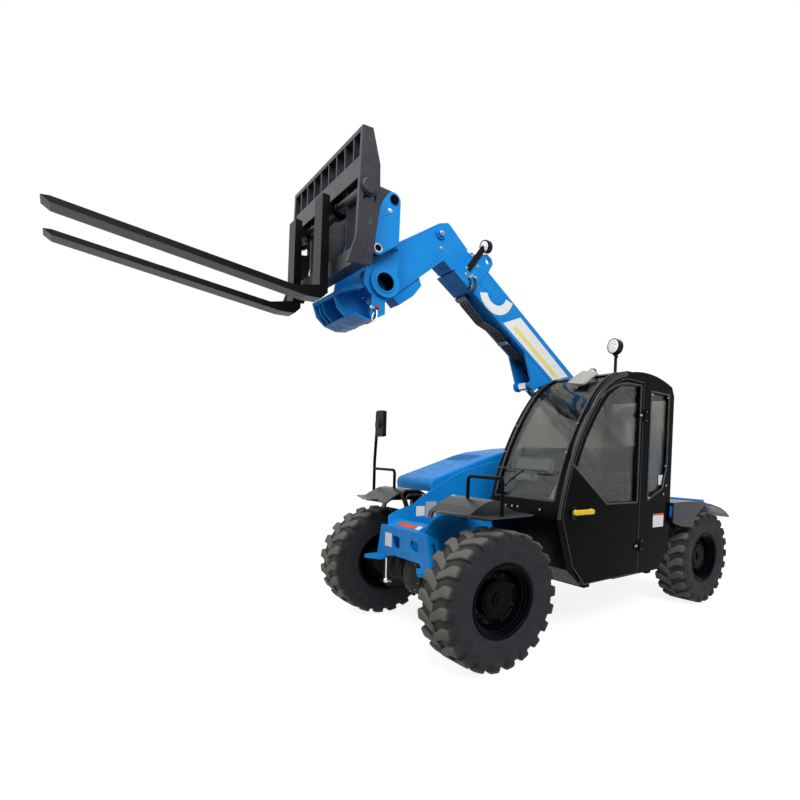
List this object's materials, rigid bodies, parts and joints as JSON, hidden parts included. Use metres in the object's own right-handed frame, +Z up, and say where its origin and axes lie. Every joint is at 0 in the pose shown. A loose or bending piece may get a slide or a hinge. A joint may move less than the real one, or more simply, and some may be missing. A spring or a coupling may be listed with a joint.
{
  "type": "compact telescopic handler",
  "caption": "Compact telescopic handler with side cab, raised telescopic boom, gooseneck head, fork carriage with pallet forks, and steered lugged wheels.",
  "frame": {"origin": "on the ground under the centre of the whole machine's box, forks included", "axes": "+X forward, +Y to the driver's left, +Z up"},
  "size_m": [4.92, 1.796, 3.008],
  "materials": {
    "blue_paint": "gloss blue paint",
    "black_paint": "satin black paint",
    "carriage_black": "worn black paint",
    "fork_steel": "worn black fork paint",
    "cast_axle": "black painted casting",
    "engine_iron": "rough casting",
    "weight_iron": "painted casting",
    "chrome_rod": "hard chrome",
    "line_steel": "dark steel line",
    "pin_steel": "turned steel",
    "cab_glass": "lightly tinted",
    "tyre_rubber": "dusty moulded rubber",
    "hose_rubber": "hydraulic hose cover",
    "seat_fabric": "black woven",
    "moulded_plastic": "moulded",
    "yellow_plastic": "moulded yellow",
    "lamp_plastic": "lamp lens"
  },
  "bodies": {
    "chassis": {"chassis_right_plate": "blue_paint", "chassis_left_plate": "blue_paint", "chassis_cross_members": "blue_paint", "chassis_front_plate": "blue_paint", "boom_pivot_pin": "pin_steel", "rear_counterweight": "weight_iron", "engine_block": "engine_iron", "engine_pod": "blue_paint", "front_axle_beam": "cast_axle", "rear_axle_beam": "cast_axle", "cab_frame": "black_paint", "cab_windscreen": "cab_glass", "cab_window_glass": "cab_glass", "cab_quarter_panel": "black_paint", "driver_seat": "seat_fabric", "steering_column": "moulded_plastic", "front_fenders": "black_paint", "rear_fenders": "black_paint", "hand_rails": "black_paint", "side_mirror": "moulded_plastic", "roof_mirror": "moulded_plastic", "roof_lamp": "moulded_plastic", "rear_lamps": "lamp_plastic", "front_hoses": "hose_rubber"},
    "door": {"cab_door": "black_paint", "door_glass": "cab_glass", "door_handle": "yellow_plastic"},
    "hood": {"engine_hood": "blue_paint"},
    "boom": {"boom_outer": "blue_paint", "boom_lines": "line_steel", "boom_lamp": "moulded_plastic"},
    "telescope": {"boom_inner": "blue_paint", "boom_gooseneck": "blue_paint"},
    "lift_barrel": {"lift_cylinder_barrel": "black_paint"},
    "lift_rod": {"lift_cylinder_rod": "chrome_rod"},
    "tool": {"tool_coupler": "blue_paint", "fork_carriage": "carriage_black", "fork_shaft": "carriage_black", "pallet_forks": "fork_steel"},
    "knuckle_front_left": {"knuckle_front_left": "cast_axle"},
    "wheel_front_left": {"rim_front_left": "black_paint", "tyre_front_left": "tyre_rubber"},
    "knuckle_front_right": {"knuckle_front_right": "cast_axle"},
    "wheel_front_right": {"rim_front_right": "black_paint", "tyre_front_right": "tyre_rubber"},
    "knuckle_rear_left": {"knuckle_rear_left": "cast_axle"},
    "wheel_rear_left": {"rim_rear_left": "black_paint", "tyre_rear_left": "tyre_rubber"},
    "knuckle_rear_right": {"knuckle_rear_right": "cast_axle"},
    "wheel_rear_right": {"rim_rear_right": "black_paint", "tyre_rear_right": "tyre_rubber"}
  },
  "joints": [
    {"name": "door_hinge", "type": "hinge", "parent": "chassis", "child": "door", "pos_m": [-0.782, 0.87, 1.1], "axis": [0, 0, 1], "range_deg": [0, 95]},
    {"name": "hood_hinge", "type": "hinge", "parent": "chassis", "child": "hood", "pos_m": [-1.285, -0.575, 1], "axis": [0, -1, 0], "range_deg": [0, 50]},
    {"name": "boom_lift", "type": "hinge", "parent": "chassis", "child": "boom", "pos_m": [-1.98, -0.1, 1.3], "axis": [0, -1, 0], "range_deg": [-38, 28]},
    {"name": "boom_extend", "type": "slide", "parent": "boom", "child": "telescope", "axis": [0.8339, 0, 0.5519], "range_m": [0, 1.9]},
    {"name": "tool_tilt", "type": "hinge", "parent": "telescope", "child": "tool", "pos_m": [0.987, -0.1, 2.308], "axis": [0, -1, 0], "range_deg": [-80, 35]},
    {"name": "lift_cylinder_pivot", "type": "hinge", "parent": "chassis", "child": "lift_barrel", "pos_m": [-1.78, -0.1, 0.93], "axis": [0, -1, 0], "range_deg": [-40, 30]},
    {"name": "lift_cylinder_stroke", "type": "slide", "parent": "lift_barrel", "child": "lift_rod", "axis": [0.8237, 0, 0.5671], "range_m": [-0.28, 0.21]},
    {"name": "steer_front_left", "type": "hinge", "parent": "chassis", "child": "knuckle_front_left", "pos_m": [0.545, 0.555, 0.415], "axis": [0, 0, 1], "range_deg": [-35, 35]},
    {"name": "wheel_front_left_spin", "type": "hinge", "parent": "knuckle_front_left", "child": "wheel_front_left", "pos_m": [0.545, 0.74, 0.415], "axis": [0, 1, 0], "continuous": true},
    {"name": "steer_front_right", "type": "hinge", "parent": "chassis", "child": "knuckle_front_right", "pos_m": [0.545, -0.555, 0.415], "axis": [0, 0, 1], "range_deg": [-35, 35]},
    {"name": "wheel_front_right_spin", "type": "hinge", "parent": "knuckle_front_right", "child": "wheel_front_right", "pos_m": [0.545, -0.74, 0.415], "axis": [0, 1, 0], "continuous": true},
    {"name": "steer_rear_left", "type": "hinge", "parent": "chassis", "child": "knuckle_rear_left", "pos_m": [-1.805, 0.555, 0.415], "axis": [0, 0, 1], "range_deg": [-35, 35]},
    {"name": "wheel_rear_left_spin", "type": "hinge", "parent": "knuckle_rear_left", "child": "wheel_rear_left", "pos_m": [-1.805, 0.74, 0.415], "axis": [0, 1, 0], "continuous": true},
    {"name": "steer_rear_right", "type": "hinge", "parent": "chassis", "child": "knuckle_rear_right", "pos_m": [-1.805, -0.555, 0.415], "axis": [0, 0, 1], "range_deg": [-35, 35]},
    {"name": "wheel_rear_right_spin", "type": "hinge", "parent": "knuckle_rear_right", "child": "wheel_rear_right", "pos_m": [-1.805, -0.74, 0.415], "axis": [0, 1, 0], "continuous": true}
  ],
  "couplings": [
    {"joint": "lift_cylinder_pivot", "follows": "boom_lift", "ratio": 1},
    {"joint": "lift_cylinder_stroke", "follows": "boom_lift", "m_per_rad": 0.39},
    {"joint": "steer_front_right", "follows": "steer_front_left", "ratio": 1},
    {"joint": "steer_rear_right", "follows": "steer_rear_left", "ratio": 1}
  ]
}
